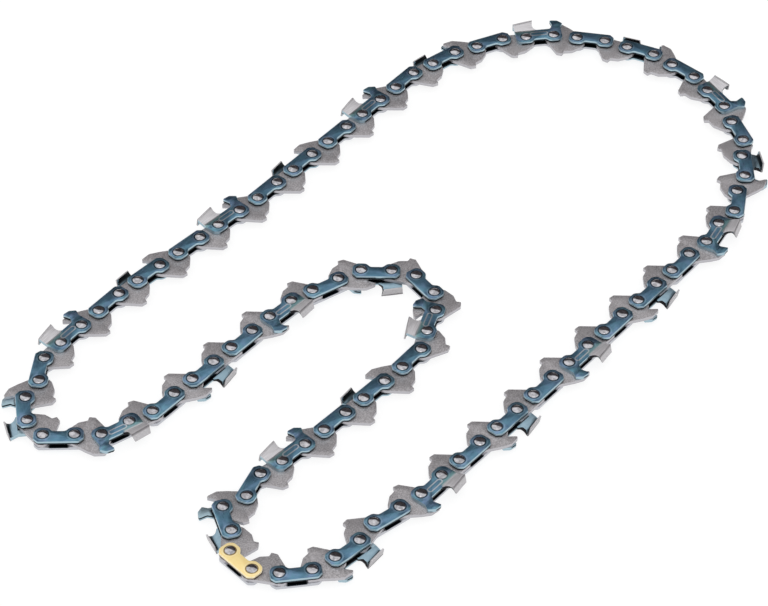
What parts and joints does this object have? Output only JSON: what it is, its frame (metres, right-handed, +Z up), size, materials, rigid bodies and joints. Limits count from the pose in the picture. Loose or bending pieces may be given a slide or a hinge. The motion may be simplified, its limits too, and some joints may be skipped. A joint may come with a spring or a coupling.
{
  "type": "chainsaw chain loop",
  "caption": "Closed saw chain loop with blued tie straps and cutters, hooked drive links, finned bumper links, peened rivets and one gilt marker strap",
  "frame": {"origin": "on the floor under the middle of the loop's outer box", "axes": "+X along the long strands, +Y across them, +Z up, away from the floor that the chain lies on"},
  "size_m": [0.2948, 0.153, 0.0069],
  "materials": {
    "drive_link_steel": "brushed bare steel",
    "blued_steel": "blue heat oxide, satin",
    "cutter_steel": "blue heat oxide with a plated cutting corner",
    "gilt_steel": "gold coloured plating, satin",
    "rivet_steel": "peened bare steel"
  },
  "bodies": {
    "root": {"bumper_drive_link_02": "drive_link_steel", "bumper_drive_link_04": "drive_link_steel", "bumper_drive_link_06": "drive_link_steel", "bumper_drive_link_08": "drive_link_steel", "bumper_drive_link_10": "drive_link_steel", "bumper_drive_link_12": "drive_link_steel", "bumper_drive_link_14": "drive_link_steel", "bumper_drive_link_16": "drive_link_steel", "bumper_drive_link_18": "drive_link_steel", "bumper_drive_link_20": "drive_link_steel", "bumper_drive_link_22": "drive_link_steel", "bumper_drive_link_24": "drive_link_steel", "bumper_drive_link_26": "drive_link_steel", "bumper_drive_link_28": "drive_link_steel", "bumper_drive_link_30": "drive_link_steel", "bumper_drive_link_32": "drive_link_steel", "bumper_drive_link_34": "drive_link_steel", "bumper_drive_link_36": "drive_link_steel", "bumper_drive_link_38": "drive_link_steel", "bumper_drive_link_40": "drive_link_steel", "bumper_drive_link_42": "drive_link_steel", "bumper_drive_link_44": "drive_link_steel", "bumper_drive_link_46": "drive_link_steel", "bumper_drive_link_48": "drive_link_steel", "bumper_drive_link_50": "drive_link_steel", "drive_link_01": "drive_link_steel", "drive_link_03": "drive_link_steel", "drive_link_05": "drive_link_steel", "drive_link_07": "drive_link_steel", "drive_link_09": "drive_link_steel", "drive_link_11": "drive_link_steel", "drive_link_13": "drive_link_steel", "drive_link_15": "drive_link_steel", "drive_link_17": "drive_link_steel", "drive_link_19": "drive_link_steel", "drive_link_21": "drive_link_steel", "drive_link_23": "drive_link_steel", "drive_link_25": "drive_link_steel", "drive_link_27": "drive_link_steel", "drive_link_29": "drive_link_steel", "drive_link_31": "drive_link_steel", "drive_link_33": "drive_link_steel", "drive_link_35": "drive_link_steel", "drive_link_37": "drive_link_steel", "drive_link_39": "drive_link_steel", "drive_link_41": "drive_link_steel", "drive_link_43": "drive_link_steel", "drive_link_45": "drive_link_steel", "drive_link_47": "drive_link_steel", "drive_link_49": "drive_link_steel", "drive_link_51": "drive_link_steel", "gilt_tie_strap": "gilt_steel", "left_cutters": "cutter_steel", "lower_tie_straps": "blued_steel", "right_cutters": "cutter_steel", "rivets": "rivet_steel", "upper_tie_straps": "blued_steel"}
  },
  "joints": []
}
